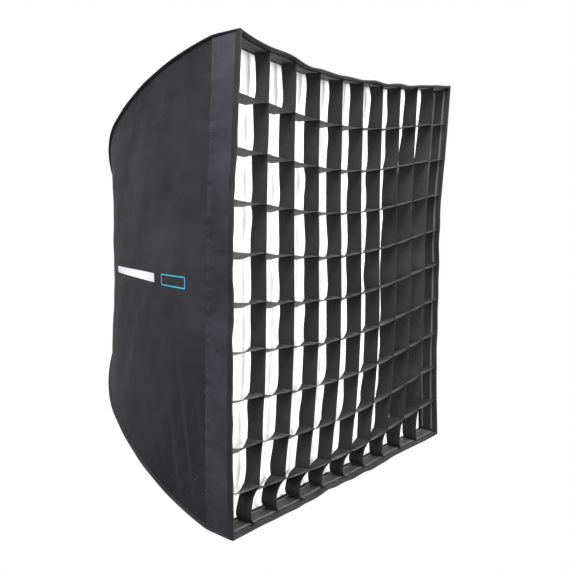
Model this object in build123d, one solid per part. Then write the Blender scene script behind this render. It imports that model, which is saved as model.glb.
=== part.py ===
from build123d import *
import math
import os

# A square umbrella softbox: a black cloth shell on a four-rib umbrella frame, with a white
# front diffuser and a cloth egg-crate grid inside a shallow front lip.
#
# Millimetres. +Z is up, +Y runs from the open front to the hub at the back, and the front
# faces -Y. The origin is the free end of the umbrella shaft, on the shaft's axis. The light
# stands inside, below the shaft, and its umbrella clamp grips the shaft's free end.
#
# The ribs run along the box's four corner edges. Each rib, with the edge of cloth over it, is
# drawn in its own diagonal plane: "out" is the distance from the shaft, "back" is the row's Y.

# ---- driving dimensions: cloth box --------------------------------------------------------
HALF_RIM = 400.0        # half the width and height of the front rim
HALF_SEAM = 393.0       # the same at the seam where the lip meets the shell
RIM_Y = -100.0          # front edge of the lip
LIP_DEPTH = 58.0        # rim to seam
CLOTH = 1.5             # thickness of the shell, measured in the diagonal plane
LIP_CLOTH = 1.2
# The corner edge, from the hub to the seam: (start heading, end heading, radius). A heading is
# the angle by which the edge has turned from straight out towards straight forward.
EDGE_BENDS = [(7.2, 17.6, 1220.0), (17.6, 52.0, 319.0), (52.0, 73.0, 965.0)]
BINDING_PROUD = 7.0     # seam binding, standing out from each corner edge
BINDING_THICK = 2.4

# ---- driving dimensions: front cloths -----------------------------------------------------
GRID_CELLS = 10         # across and down
GRID_FRONT = 2.0        # behind the rim
GRID_DEPTH = 34.0       # depth of the grid's border
STRIP_DEPTH = 32.0
STRIP = 1.0             # thickness of a grid strip
STRIP_SLOT = 1.5        # halving slot where strips cross
DIFFUSER_BACK = 43.0    # front face of the diffuser, behind the rim
DIFFUSER_FLANGE = 12.0
TAPE = 1.1              # thickness of a hook or loop tape

# ---- driving dimensions: umbrella frame ---------------------------------------------------
SHAFT_R = 4.0
SHAFT_BORE = 3.0
ROD_R = 2.0
ROD_INSET = 6.0         # rib's centre line inside the corner edge
PIVOT_OUT = 14.0        # rib pivots and runner pivots, from the shaft's axis
PIN_R = 1.0
EYE_R = 1.06            # pin hole in a rib or stretcher eye
EYE_BOSS = 3.0
TAB = 2.0               # thickness of a flat eye
SLOT = 2.6              # radial slots in hub and runner
BRACKET_HEADING = 15.5  # where on the rib the stretcher's bracket sits
BRACKET_DROP = 8.0      # bracket pin below the rib's centre line
FOLD_DEG = 42.0         # how far the ribs fold in
HUB_R = 20.0
RUNNER_R = 19.0
RUNNER_BORE = 4.04
CLAMP_STRETCH = 50.0    # free end of the shaft, where the lamp's clamp grips
GRIP_R = 9.0
GRIP_LENGTH = 30.0

# ---- driving dimensions: zip --------------------------------------------------------------
ZIP_HEADING = 62.0      # where on the bottom panel the zip runs across
ZIP_LENGTH = 280.0
ZIP_TRAVEL = 250.0
TOOTH_ROW = 5.2         # width of the row of teeth
TOOTH_PITCH = 4.0
ZIP_TAPE = 12.0

ROOT2 = math.sqrt(2.0)
SIDES = {"left": (-1, 0, 0), "right": (1, 0, 0), "top": (0, 0, 1), "bottom": (0, 0, -1)}
CORNERS = {
    "top_left": (-1, 0, 1),
    "top_right": (1, 0, 1),
    "bottom_left": (-1, 0, -1),
    "bottom_right": (1, 0, -1),
}


def save(shape, name):
    export_step(shape, f"parts/{name}.step")


def facing(outward):
    """Plane whose x points outward from the shaft and whose y is the row's +Y."""
    n = Vector(*outward).normalized()
    return Plane(origin=(0, 0, 0), x_dir=n, z_dir=n.cross(Vector(0, 1, 0)))


# ---- the corner edge in its diagonal plane ------------------------------------------------


def along(heading):
    return Vector(math.cos(math.radians(heading)), -math.sin(math.radians(heading)))


def inward(heading):
    return Vector(-math.sin(math.radians(heading)), -math.cos(math.radians(heading)))


def turned(point, start, end, radius):
    """Where an arc that leaves point at one heading gets to when it reaches another."""
    return point + (inward(start) - inward(end)) * radius


EDGE_TIP = Vector(HALF_SEAM * ROOT2, RIM_Y + LIP_DEPTH)
EDGE_ROOT = EDGE_TIP
for bend in reversed(EDGE_BENDS):
    EDGE_ROOT = EDGE_ROOT - (turned(Vector(0, 0), *bend))
KNEE = turned(EDGE_ROOT, *EDGE_BENDS[0])
SHOULDER = turned(KNEE, *EDGE_BENDS[1])


def edge_arcs(inset, first=None, last=None):
    """The corner edge moved inwards by inset, as tangent arcs, over part of its headings."""
    first = EDGE_BENDS[0][0] if first is None else first
    last = EDGE_BENDS[-1][1] if last is None else last
    arcs = []
    start = EDGE_ROOT
    for low, high, radius in EDGE_BENDS:
        a, b = max(low, first), min(high, last)
        if b > a:
            three = [turned(start, low, h, radius) + inward(h) * inset for h in (a, (a + b) / 2, b)]
            arcs.append(ThreePointArc(*three))
        start = turned(start, low, high, radius)
    return arcs


def edge_band(inner, outer):
    """Flat band between two parallels of the corner edge."""
    near, far = edge_arcs(inner), edge_arcs(outer)
    ends = [Line(near[0] @ 0, far[0] @ 0), Line(near[-1] @ 1, far[-1] @ 1)]
    return make_face(Curve() + near + far + ends)


# ---- cloth shell --------------------------------------------------------------------------


def zip_frame():
    """Plane on the bottom panel's outside: x along the zip, z straight out of the cloth."""
    _, high, radius = EDGE_BENDS[1]
    at = turned(SHOULDER, high, ZIP_HEADING, EDGE_BENDS[2][2])
    slope = math.atan(math.tan(math.radians(ZIP_HEADING)) * ROOT2)
    out = Vector(0, math.cos(slope), -math.sin(slope))
    return Plane(origin=(0, at.Y, -at.X / ROOT2), x_dir=(1, 0, 0), z_dir=out)


def shell_panel(side):
    """One of the four panels: a single curve, as wide as the box is at each depth."""
    reach = HALF_RIM * 2
    profile = scale(edge_band(0, CLOTH), by=(1 / ROOT2, 1, 1))
    sheet = extrude(profile, amount=reach / 2, both=True)
    wedge_outline = Polyline((0, 0, 0), (reach, 0, reach), (reach, 0, -reach), close=True)
    wedge = extrude(make_face(wedge_outline), amount=reach, dir=(0, 1, 0), both=True)
    panel = facing(SIDES[side]) * (sheet & wedge)
    if side == "bottom":
        panel -= zip_frame() * Box(ZIP_LENGTH - 8, TOOTH_ROW + 0.8, 12)
    return panel


def seam_binding(corner):
    """Folded tape over the seam of two panels, standing out along the corner edge."""
    fin = extrude(edge_band(0, -BINDING_PROUD), amount=BINDING_THICK / 2, both=True)
    return facing(CORNERS[corner]) * fin


def tip_pocket(corner):
    """Cloth gusset across the corner that holds the rib's tip."""
    heading = EDGE_BENDS[-1][1]
    length, width, drop = 46.0, 16.0, 11.5
    centre = EDGE_TIP - along(heading) * (length / 2 + 2) + inward(heading) * drop
    place = Location((centre.X, centre.Y, 0), (0, 0, -heading))
    return facing(CORNERS[corner]) * (place * Box(length, 1.0, width))


# ---- lip and what is fastened in it -------------------------------------------------------


def lip_half(back):
    """Half width of the lip's outside at a distance behind the rim."""
    return HALF_RIM - (HALF_RIM - HALF_SEAM) * back / LIP_DEPTH


def square_ring(front, back, outside, thick):
    """Tapered square ring that follows the lip: outside is its depth inside the lip's skin."""

    def block(inset):
        faces = []
        for at in (front, back):
            side = 2 * (lip_half(at) - inset)
            plane = Plane(origin=(0, RIM_Y + at, 0), x_dir=(1, 0, 0), z_dir=(0, 1, 0))
            faces.append(plane * Rectangle(side, side))
        return loft(faces)

    return block(outside) - block(outside + thick)


def rim_binding(lip):
    """Tape folded over the lip's front edge."""
    return square_ring(-1.5, 9, -1.6, 4.4) - lip


LOOP_AT = LIP_CLOTH + 0.05
HOOK_AT = LOOP_AT + TAPE + 0.1
GRID_AT = HOOK_AT + TAPE + 0.02
GRID_BORDER = 1.2


def diffuser():
    """White sheet with a turned flange, as one shallow pan."""
    flange = square_ring(DIFFUSER_BACK, DIFFUSER_BACK + DIFFUSER_FLANGE, GRID_AT, 0.8)
    half = lip_half(DIFFUSER_BACK + 0.8) - GRID_AT - 0.1
    sheet = Pos(0, RIM_Y + DIFFUSER_BACK + 0.4, 0) * Box(2 * half, 0.8, 2 * half)
    return flange + sheet


def grid_strips(upright):
    """One set of strips. Upright strips are slotted from the back, level ones from the front."""
    front, back = GRID_FRONT + 1, GRID_FRONT + 1 + STRIP_DEPTH
    clear = GRID_AT + GRID_BORDER + 0.1
    ends = [(lip_half(at) - clear, RIM_Y + at) for at in (front, back)]
    outline = [(-ends[0][0], ends[0][1]), ends[0], ends[1], (-ends[1][0], ends[1][1])]
    pitch = 2 * ends[1][0] / GRID_CELLS
    middle = RIM_Y + (front + back) / 2
    slot_y = middle + (STRIP_DEPTH / 4 if upright else -STRIP_DEPTH / 4)
    level = extrude(make_face(Polyline(*outline, close=True)), amount=STRIP / 2, both=True)
    offsets = [(k - GRID_CELLS / 2) * pitch for k in range(1, GRID_CELLS)]
    for at in offsets:
        level -= Pos(at, slot_y, 0) * Box(STRIP_SLOT, STRIP_DEPTH / 2 + 1, 4)
    lie = Rot(0, 90, 0) if upright else Rot(0, 0, 0)
    step = Vector(1, 0, 0) if upright else Vector(0, 0, 1)
    return Compound(children=[Pos(*(step * at)) * (lie * level) for at in offsets])


# ---- umbrella frame -----------------------------------------------------------------------

ROD_ROOT = EDGE_ROOT + inward(EDGE_BENDS[0][0]) * ROD_INSET
RIB_PIVOT = ROD_ROOT - along(EDGE_BENDS[0][0]) * ((ROD_ROOT.X - PIVOT_OUT) / along(EDGE_BENDS[0][0]).X)
BRACKET_EDGE = turned(EDGE_ROOT, EDGE_BENDS[0][0], BRACKET_HEADING, EDGE_BENDS[0][2])
BRACKET_ROD = BRACKET_EDGE + inward(BRACKET_HEADING) * ROD_INSET
BRACKET_PIN = BRACKET_ROD + inward(BRACKET_HEADING) * BRACKET_DROP
ARM = (BRACKET_PIN - RIB_PIVOT).length
ARM_ANGLE = math.atan2(BRACKET_PIN.X - RIB_PIVOT.X, RIB_PIVOT.Y - BRACKET_PIN.Y)
RUNNER_Y = RIB_PIVOT.Y - 2 * ARM * math.cos(ARM_ANGLE)
FOLDED_Y = RIB_PIVOT.Y - 2 * ARM * math.cos(ARM_ANGLE - math.radians(FOLD_DEG))
RUNNER_TRAVEL = RUNNER_Y - FOLDED_Y
HUB_FRONT = RIB_PIVOT.Y - 14
HUB_BACK = RIB_PIVOT.Y + 2
NECK_BACK = RIB_PIVOT.Y + 5.1
SHAFT_BACK = NECK_BACK + 9
CATCH_BACK = RUNNER_Y - 22 - GRIP_LENGTH - 1
CATCH_LENGTH = 14.0


def peg(at, radius, length):
    """Round bar across the diagonal plane."""
    return Pos(at.X, at.Y, 0) * Cylinder(radius, length)


def bar_between(a, b, radius):
    run = b - a
    plane = Plane(origin=(a.X, a.Y, 0), z_dir=(run.X, run.Y, 0))
    return plane * Cylinder(radius, run.length, align=(Align.CENTER, Align.CENTER, Align.MIN))


def flat_between(a, b, width, thick):
    run = b - a
    middle = (a + b) * 0.5
    turn = math.degrees(math.atan2(run.Y, run.X))
    return Location((middle.X, middle.Y, 0), (0, 0, turn)) * Box(run.length, width, thick)


def along_shaft(front, back, radius, bore=0.0):
    plane = Plane(origin=(0, front, 0), x_dir=(1, 0, 0), z_dir=(0, 1, 0))
    base = (Align.CENTER, Align.CENTER, Align.MIN)
    body = plane * Cylinder(radius, back - front, align=base)
    if bore:
        body -= plane * Cylinder(bore, back - front, align=base)
    return body


def rib_rod():
    """Sprung rod from the eye to the tip cap, bent along the corner edge."""
    arcs = edge_arcs(ROD_INSET, first=EDGE_BENDS[0][0] + 0.4)
    start = arcs[0] @ 0
    heading = arcs[0] % 0
    section = Plane(origin=start, z_dir=heading) * Circle(ROD_R)
    tip = arcs[-1] @ 1
    rod = sweep(section, path=Curve() + arcs)
    cut = Pos(tip.X, tip.Y, 0) * Rot(0, 0, -EDGE_BENDS[-1][1]) * Box(12, 12, 12)
    return rod - cut


def rib_eye():
    """Flat eye on the hub pin, with a ferrule crimped over the rod's root."""
    heading = EDGE_BENDS[0][0]
    reach = along(heading)
    tab = flat_between(RIB_PIVOT, RIB_PIVOT + reach * 16, 4.6, TAB) + peg(RIB_PIVOT, EYE_BOSS, TAB)
    ferrule = bar_between(RIB_PIVOT + reach * 13, RIB_PIVOT + reach * 36, 2.9)
    return tab + ferrule - peg(RIB_PIVOT, EYE_R, 10) - rib_rod()


def rib_bracket():
    """Saddle on the rod with two ears for the stretcher's pin."""
    lean = along(BRACKET_HEADING)
    saddle = bar_between(BRACKET_ROD - lean * 8, BRACKET_ROD + lean * 8, 3.5)
    ear = flat_between(BRACKET_ROD + inward(BRACKET_HEADING) * 1.5, BRACKET_PIN, 6.4, 6.2)
    ear += peg(BRACKET_PIN, 3.2, 6.2)
    gap_from = BRACKET_ROD + inward(BRACKET_HEADING) * 3.9
    gap_to = BRACKET_PIN + inward(BRACKET_HEADING) * 4
    ear -= flat_between(gap_from, gap_to, 14, SLOT)
    return saddle + ear - peg(BRACKET_PIN, PIN_R, 10) - rib_rod()


def rib_tip():
    """Plastic cap over the rod's end."""
    heading = EDGE_BENDS[-1][1]
    end = EDGE_TIP + inward(heading) * ROD_INSET
    cap = bar_between(end - along(heading) * 22, end - along(heading) * 3, 2.9)
    cap = fillet(cap.edges().sort_by(Axis.X)[-1:], 1.4)
    return cap - rib_rod()


def stretcher():
    """Strut from the rib's bracket to the runner, with a flat eye at each end."""
    runner_eye = Vector(PIVOT_OUT, RUNNER_Y)
    run = (runner_eye - BRACKET_PIN).normalized()
    strut = bar_between(BRACKET_PIN + run * 13, runner_eye - run * 20, 2.2)
    for eye, way, reach in ((BRACKET_PIN, run, 17), (runner_eye, run * -1, 24)):
        strut += flat_between(eye, eye + way * reach, 4.4, TAB) + peg(eye, EYE_BOSS, TAB)
    strut -= peg(BRACKET_PIN, EYE_R, 10)
    return strut + peg(runner_eye, PIN_R, 7.0)


def hub():
    """Plastic notch at the shaft's back end: four slots for the rib eyes."""
    body = along_shaft(HUB_FRONT, HUB_BACK, HUB_R) + along_shaft(HUB_BACK, NECK_BACK, 13.5)
    body -= along_shaft(HUB_FRONT - 1, NECK_BACK + 1, SHAFT_R + 0.02)
    for corner in CORNERS.values():
        slot_front, slot_back = HUB_FRONT - 1, RIB_PIVOT.Y + EYE_BOSS + 0.5
        middle = (slot_front + slot_back) / 2
        slot = Pos(9.5 + 10, middle, 0) * Box(20, slot_back - slot_front, SLOT)
        body -= facing(corner) * (slot + peg(RIB_PIVOT, PIN_R, 9))
    return body


def runner():
    """Sliding collar: four open slots take the stretcher pins, a groove clears the catch."""
    front, back = RUNNER_Y - 22, RUNNER_Y + 7
    body = along_shaft(front, back, RUNNER_R) + along_shaft(front - GRIP_LENGTH, front, GRIP_R)
    for at in (6, 12, 18, 24):
        body += along_shaft(front - at - 1.5, front - at, GRIP_R + 0.8)
    body -= along_shaft(front - GRIP_LENGTH - 1, back + 1, RUNNER_BORE)
    play = 16.0
    for corner in CORNERS.values():
        slot = Pos(9 + 10, (front + back) / 2, 0) * Box(20, back - front + 2, SLOT)
        pin_way = Pos(PIVOT_OUT, RUNNER_Y - play / 2, 0) * Box(2 * PIN_R + 0.5, play + 2.5, 8.0)
        body -= facing(corner) * (slot + pin_way)
    groove = Box(3.4, back - front + GRIP_LENGTH + 4, 8.0, align=(Align.CENTER, Align.CENTER, Align.MIN))
    return body - Pos(0, (front + back - GRIP_LENGTH) / 2, 0) * groove


def shaft():
    """Steel tube with a slot for the catch."""
    tube = along_shaft(0, SHAFT_BACK, SHAFT_R, SHAFT_BORE)
    tube -= along_shaft(CLAMP_STRETCH, CLAMP_STRETCH + 1.3, SHAFT_R + 1, SHAFT_R - 0.4)
    slot_middle = CATCH_BACK - CATCH_LENGTH / 2
    return tube - Pos(0, slot_middle, SHAFT_R) * Box(2.8, CATCH_LENGTH + 1.2, 4)


def stop_ring():
    """Split ring in the shaft's groove that keeps the runner off the clamp's stretch."""
    ring = along_shaft(CLAMP_STRETCH + 0.1, CLAMP_STRETCH + 1.2, SHAFT_R + 1.6, SHAFT_R - 0.35)
    return ring - Pos(SHAFT_R, CLAMP_STRETCH, 0) * Box(8, 8, 2.2)


def catch_button():
    """Wedge that stands out of the shaft in front of the runner."""
    outline = [
        (CATCH_BACK - CATCH_LENGTH, -0.2),
        (CATCH_BACK, -0.2),
        (CATCH_BACK, 6.4),
        (CATCH_BACK - 2, 6.4),
        (CATCH_BACK - CATCH_LENGTH, 3.6),
    ]
    face = make_face(Polyline(*[(0, y, z) for y, z in outline], close=True))
    return extrude(face, amount=1.2, dir=(1, 0, 0), both=True)


def catch_spring():
    """Leaf under the catch, lying in the tube."""
    back, lift, thick = CATCH_BACK + 34, -0.65, 0.35
    low = -2.55
    outline = [
        (back, low),
        (back, low + thick),
        (CATCH_BACK + 10, low + thick),
        (CATCH_BACK - 1, lift + thick),
        (CATCH_BACK - 10, lift + thick),
        (CATCH_BACK - 10, lift),
        (CATCH_BACK - 1, lift),
        (CATCH_BACK + 10, low),
    ]
    face = make_face(Polyline(*[(0, y, z) for y, z in outline], close=True))
    return extrude(face, amount=1.0, dir=(1, 0, 0), both=True)


def ferrule_cap():
    """Domed cap on the shaft's back end."""
    front = NECK_BACK + 2.2
    cap = along_shaft(front, front + 14, 8.0)
    cap = fillet(cap.edges().filter_by(GeomType.CIRCLE).sort_by(Axis.Y)[-1:], 5.0)
    return cap - along_shaft(front - 1, SHAFT_BACK + 0.5, SHAFT_R + 0.02)


# ---- zip ----------------------------------------------------------------------------------


def zip_teeth():
    """Closed row of moulded teeth."""
    row = Pos(0, 0, 0.9) * Box(ZIP_LENGTH - 12, TOOTH_ROW, 1.6)
    count = int((ZIP_LENGTH - 20) / TOOTH_PITCH)
    cuts = [Pos((k - (count - 1) / 2) * TOOTH_PITCH, 0, 1.5) for k in range(count)]
    for cut in cuts:
        row -= cut * Box(1.2, TOOTH_ROW + 1, 1.0)
    return row


def zip_tapes():
    """Two woven tapes sewn along the slit."""
    offset = (TOOTH_ROW + ZIP_TAPE) / 2 + 0.15
    strips = [Pos(0, side * offset, 0.65) * Box(ZIP_LENGTH, ZIP_TAPE, 0.8) for side in (-1, 1)]
    return Compound(children=strips)


SLIDER_X = -ZIP_TRAVEL / 2
BRIDGE_Z = 6.2


def zip_slider():
    """Slider body with the bridge that carries the pull."""
    plate = Pos(0, 0, 2.9) * Box(14, 9.6, 1.6)
    plate = fillet(plate.edges().filter_by(Axis.Z), 2.0)
    rails = [Pos(0, side * 4.2, 1.7) * Box(10, 1.2, 1.2) for side in (-1, 1)]
    posts = [Pos(0, side * 3.9, 5.0) * Box(2.6, 1.4, 3.6) for side in (-1, 1)]
    bridge = Pos(0, 0, BRIDGE_Z) * Rot(90, 0, 0) * Cylinder(0.9, 7.0)
    body = plate + rails[0] + rails[1] + posts[0] + posts[1] + bridge
    return Pos(SLIDER_X, 0, 0) * body


def zip_pull():
    """Tab that hangs from the slider's bridge."""
    eye = Pos(0, 0, BRIDGE_Z) * Rot(90, 0, 0) * Cylinder(2.0, 5.4)
    tab = Pos(0, 0, BRIDGE_Z + 13) * Box(1.6, 5.4, 24)
    tab = fillet(tab.edges().filter_by(Axis.X), 1.6)
    hole = Pos(0, 0, BRIDGE_Z) * Rot(90, 0, 0) * Cylinder(0.97, 8)
    window = Pos(0, 0, BRIDGE_Z + 19) * Box(4, 2.4, 6)
    return Pos(SLIDER_X, 0, 0) * (eye + tab - hole - window)


# ---- write every piece --------------------------------------------------------------------


def main():
    os.makedirs("parts", exist_ok=True)

    for side in SIDES:
        save(shell_panel(side), f"panel_{side}")
    lip = square_ring(0, LIP_DEPTH - 0.7, 0, LIP_CLOTH)
    save(lip, "front_lip")
    save(rim_binding(lip), "rim_binding")
    save(square_ring(10, 32, LOOP_AT, TAPE), "grid_loop_tape")
    save(square_ring(DIFFUSER_BACK, DIFFUSER_BACK + 11, LOOP_AT, TAPE), "diffuser_loop_tape")
    save(square_ring(12, 30, HOOK_AT, TAPE), "grid_hook_tape")
    save(square_ring(DIFFUSER_BACK + 1, DIFFUSER_BACK + 10, HOOK_AT, TAPE), "diffuser_hook_tape")
    save(square_ring(GRID_FRONT, GRID_FRONT + GRID_DEPTH, GRID_AT, GRID_BORDER), "grid_border")
    save(grid_strips(True), "grid_strips_upright")
    save(grid_strips(False), "grid_strips_level")
    save(diffuser(), "front_diffuser")

    rod, eye, bracket, tip, strut = rib_rod(), rib_eye(), rib_bracket(), rib_tip(), stretcher()
    bracket_pin = peg(BRACKET_PIN, PIN_R, 6.4)
    for corner, way in CORNERS.items():
        place = facing(way)
        save(place * rod, f"rib_rod_{corner}")
        save(place * eye, f"rib_eye_{corner}")
        save(place * bracket, f"rib_bracket_{corner}")
        save(place * bracket_pin, f"bracket_pin_{corner}")
        save(place * tip, f"rib_tip_{corner}")
        save(place * strut, f"stretcher_{corner}")
    save(Compound(children=[seam_binding(c) for c in CORNERS]), "corner_bindings")
    save(Compound(children=[tip_pocket(c) for c in CORNERS]), "tip_pockets")

    save(hub(), "rib_hub")
    pins = [facing(way) * peg(RIB_PIVOT, PIN_R, 9) for way in CORNERS.values()]
    save(Compound(children=pins), "hub_pins")
    save(runner(), "runner")
    save(shaft(), "shaft")
    save(along_shaft(NECK_BACK + 0.1, NECK_BACK + 2.1, 22.0, SHAFT_R + 0.02), "ferrule_washer")
    save(ferrule_cap(), "ferrule_cap")
    save(stop_ring(), "stop_ring")
    save(along_shaft(0.3, 9, SHAFT_BORE - 0.02), "shaft_plug")
    save(catch_button(), "catch_button")
    save(catch_spring(), "catch_spring")

    frame = zip_frame()
    save(frame * zip_teeth(), "zip_teeth")
    save(frame * zip_tapes(), "zip_tapes")
    save(frame * zip_slider(), "zip_slider")
    save(frame * zip_pull(), "zip_pull")

    print("edge root", EDGE_ROOT, "rib pivot", RIB_PIVOT, "bracket pin", BRACKET_PIN)
    print("arm", ARM, "arm angle", math.degrees(ARM_ANGLE), "runner", RUNNER_Y, "to", FOLDED_Y)
    print("travel", RUNNER_TRAVEL, "catch back", CATCH_BACK, "shaft back", SHAFT_BACK)
    print("zip", frame.origin, frame.z_dir, frame.y_dir)


main()
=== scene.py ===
import math
import random
import bpy
import bmesh
import numpy as np
from mathutils import Matrix, Vector


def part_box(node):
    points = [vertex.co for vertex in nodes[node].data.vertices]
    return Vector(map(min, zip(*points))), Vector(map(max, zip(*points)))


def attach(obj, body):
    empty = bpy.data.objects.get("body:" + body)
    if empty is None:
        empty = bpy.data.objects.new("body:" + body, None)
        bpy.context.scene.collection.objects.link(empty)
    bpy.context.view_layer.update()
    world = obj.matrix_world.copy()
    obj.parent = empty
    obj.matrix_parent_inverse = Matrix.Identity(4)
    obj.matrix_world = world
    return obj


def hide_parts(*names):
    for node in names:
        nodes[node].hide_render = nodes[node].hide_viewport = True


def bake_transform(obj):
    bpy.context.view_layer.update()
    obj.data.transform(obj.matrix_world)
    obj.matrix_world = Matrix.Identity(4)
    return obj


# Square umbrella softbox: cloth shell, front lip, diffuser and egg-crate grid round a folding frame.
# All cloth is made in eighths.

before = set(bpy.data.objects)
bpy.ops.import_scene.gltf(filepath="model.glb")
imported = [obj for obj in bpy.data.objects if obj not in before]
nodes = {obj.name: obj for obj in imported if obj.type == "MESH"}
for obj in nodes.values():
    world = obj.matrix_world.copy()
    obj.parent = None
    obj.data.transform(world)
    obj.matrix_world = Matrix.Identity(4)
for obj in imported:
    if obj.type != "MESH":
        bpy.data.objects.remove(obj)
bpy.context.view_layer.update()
print("frame loaded:", len(nodes), "CAD nodes")

lipLow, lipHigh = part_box("front_lip")
panelLow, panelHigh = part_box("panel_left")
rimHalf, rimY = lipHigh.x, lipLow.y  # the open front
seamHalf, seamY = -panelLow.x, panelLow.y  # where the lip is sewn to the shell

# side name: (outward, along) as unit X and Z pairs
sides = {
    "left": ((-1, 0), (0, 1)),
    "right": ((1, 0), (0, 1)),
    "top": ((0, 1), (1, 0)),
    "bottom": ((0, -1), (1, 0)),
}
halfNames = {
    "left": ("lower", "upper"), "right": ("lower", "upper"), "top": ("left", "right"),
    "bottom": ("left", "right")
}


def eighths():
    for side in sides:
        for end, half in zip((-1, 1), halfNames[side]):
            yield side, end, f"{side}_{half}"


def cornerOf(side, end):
    if side in ("left", "right"):
        return ("top_" if end > 0 else "bottom_") + side
    return side + ("_right" if end > 0 else "_left")


# ---- camera and light

cameraSet = {"place": (-1.5246, -0.9233, 0.1573), "yaw": 33.137, "pitch": 5.937, "roll": 1.174, "lens": 56.84}


def makeCamera():
    yaw, pitch, roll = [math.radians(cameraSet[k]) for k in ("yaw", "pitch", "roll")]
    forward = Vector((math.cos(yaw) * math.cos(pitch), math.sin(yaw) * math.cos(pitch), -math.sin(pitch)))
    right = Vector((math.sin(yaw), -math.cos(yaw), 0))
    up = right.cross(forward)
    across = right * math.cos(roll) + up * math.sin(roll)
    above = up * math.cos(roll) - right * math.sin(roll)
    camera = bpy.data.objects.new("studioCamera", bpy.data.cameras.new("studioCamera"))
    camera.data.lens = cameraSet["lens"]
    camera.data.sensor_width = 36
    turn = Matrix((across, above, -forward)).transposed().to_4x4()
    camera.matrix_world = Matrix.Translation(cameraSet["place"]) @ turn
    bpy.context.scene.collection.objects.link(camera)
    bpy.context.scene.camera = camera


lightSet = {
    # name: (place, aim, size, watts)
    "keyLight": ((-1.25, -0.6, 1.55), (-0.35, 0.0, 0.35), 0.9, 78),
    "frontLight": ((0.3, -3.2, 0.7), (0, 0, 0), 2.2, 190),
    "rimLight": ((-1.8, 2.4, 2.4), (0, 0.2, 0.1), 1.6, 45),
    "backFill": ((2.8, 1.8, 1.2), (0, 0.2, 0), 2.4, 40),
}


def makeLights():
    for name, (place, aim, size, watts) in lightSet.items():
        light = bpy.data.objects.new(name, bpy.data.lights.new(name, "AREA"))
        light.data.shape = "SQUARE"
        light.data.size = size
        light.data.energy = watts
        light.location = place
        light.rotation_euler = (Vector(aim) - Vector(place)).to_track_quat("-Z", "Y").to_euler()
        bpy.context.scene.collection.objects.link(light)
    makeAir()


airSet = {"low": 0.20, "high": 0.75}  # how bright the studio is from below and from above


def makeAir():
    # white to the camera, and softer light from below than from above
    world = bpy.data.worlds.new("studioAir")
    world.use_nodes = True
    tree = world.node_tree
    place = tree.nodes.new("ShaderNodeTexCoord")
    split = tree.nodes.new("ShaderNodeSeparateXYZ")
    spread = tree.nodes.new("ShaderNodeMapRange")
    seen = tree.nodes.new("ShaderNodeLightPath")
    brighter = tree.nodes.new("ShaderNodeMath")
    brighter.operation = "MAXIMUM"
    tree.links.new(place.outputs["Generated"], split.inputs[0])
    tree.links.new(split.outputs[2], spread.inputs["Value"])
    spread.inputs["From Min"].default_value = -1.0
    spread.inputs["To Min"].default_value = airSet["low"]
    spread.inputs["To Max"].default_value = airSet["high"]
    tree.links.new(spread.outputs[0], brighter.inputs[0])
    tree.links.new(seen.outputs["Is Camera Ray"], brighter.inputs[1])
    tree.links.new(brighter.outputs[0], tree.nodes["Background"].inputs["Strength"])
    tree.nodes["Background"].inputs["Color"].default_value = (1, 1, 1, 1)
    bpy.context.scene.world = world


makeCamera()
makeLights()
bpy.context.scene.view_settings.view_transform = "Standard"
print("camera and lights are set")

# ---- finishes


def makeGroup(name, inputs, outputs):
    group = bpy.data.node_groups.new(name, "ShaderNodeTree")
    for label, kind, value in inputs:
        socket = group.interface.new_socket(label, in_out="INPUT", socket_type=kind)
        if value is not None:
            socket.default_value = value
    for label, kind in outputs:
        group.interface.new_socket(label, in_out="OUTPUT", socket_type=kind)
    return group, group.nodes.new("NodeGroupInput"), group.nodes.new("NodeGroupOutput")


def addNode(tree, kind, settings=None, **inputs):
    node = tree.nodes.new(kind)
    for key, value in (settings or {}).items():
        setattr(node, key, value)
    for key, value in inputs.items():
        numbered = key[0] == "i" and key[1:].isdigit()
        socket = node.inputs[int(key[1:])] if numbered else node.inputs[key.replace("_", " ")]
        if isinstance(value, bpy.types.NodeSocket):
            tree.links.new(value, socket)
        else:
            socket.default_value = value
    return node


def maths(tree, operation, first, second=0.0, clamp=False):
    return addNode(
        tree, "ShaderNodeMath", {"operation": operation, "use_clamp": clamp}, i0=first, i1=second
    ).outputs[0]


def makeWeaveGroup():
    # threads crossing over and under, in metres of cloth
    group, given, out = makeGroup(
        "wovenThreads",
        [
            ("Cloth", "NodeSocketVector", None), ("Threads per metre", "NodeSocketFloat", 900.0),
            ("Unevenness", "NodeSocketFloat", 0.3)
        ],
        [("Height", "NodeSocketFloat"), ("Shade", "NodeSocketFloat")],
    )
    noise = addNode(group, "ShaderNodeTexNoise", Vector=given.outputs["Cloth"], Scale=60.0, Detail=2.0)
    split = addNode(group, "ShaderNodeSeparateXYZ", Vector=given.outputs["Cloth"])
    density = maths(group, "MULTIPLY", given.outputs["Threads per metre"], math.pi)
    warp = maths(group, "ABSOLUTE", maths(group, "SINE", maths(group, "MULTIPLY", split.outputs[0], density)))
    weft = maths(group, "ABSOLUTE", maths(group, "SINE", maths(group, "MULTIPLY", split.outputs[1], density)))
    crossing = maths(group, "MULTIPLY", warp, weft)
    uneven = maths(group, "MULTIPLY", noise.outputs["Fac"], given.outputs["Unevenness"])
    group.links.new(maths(group, "ADD", crossing, uneven), out.inputs["Height"])
    group.links.new(maths(group, "ADD", maths(group, "MULTIPLY", crossing, 0.5), uneven), out.inputs["Shade"])
    return group


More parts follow.
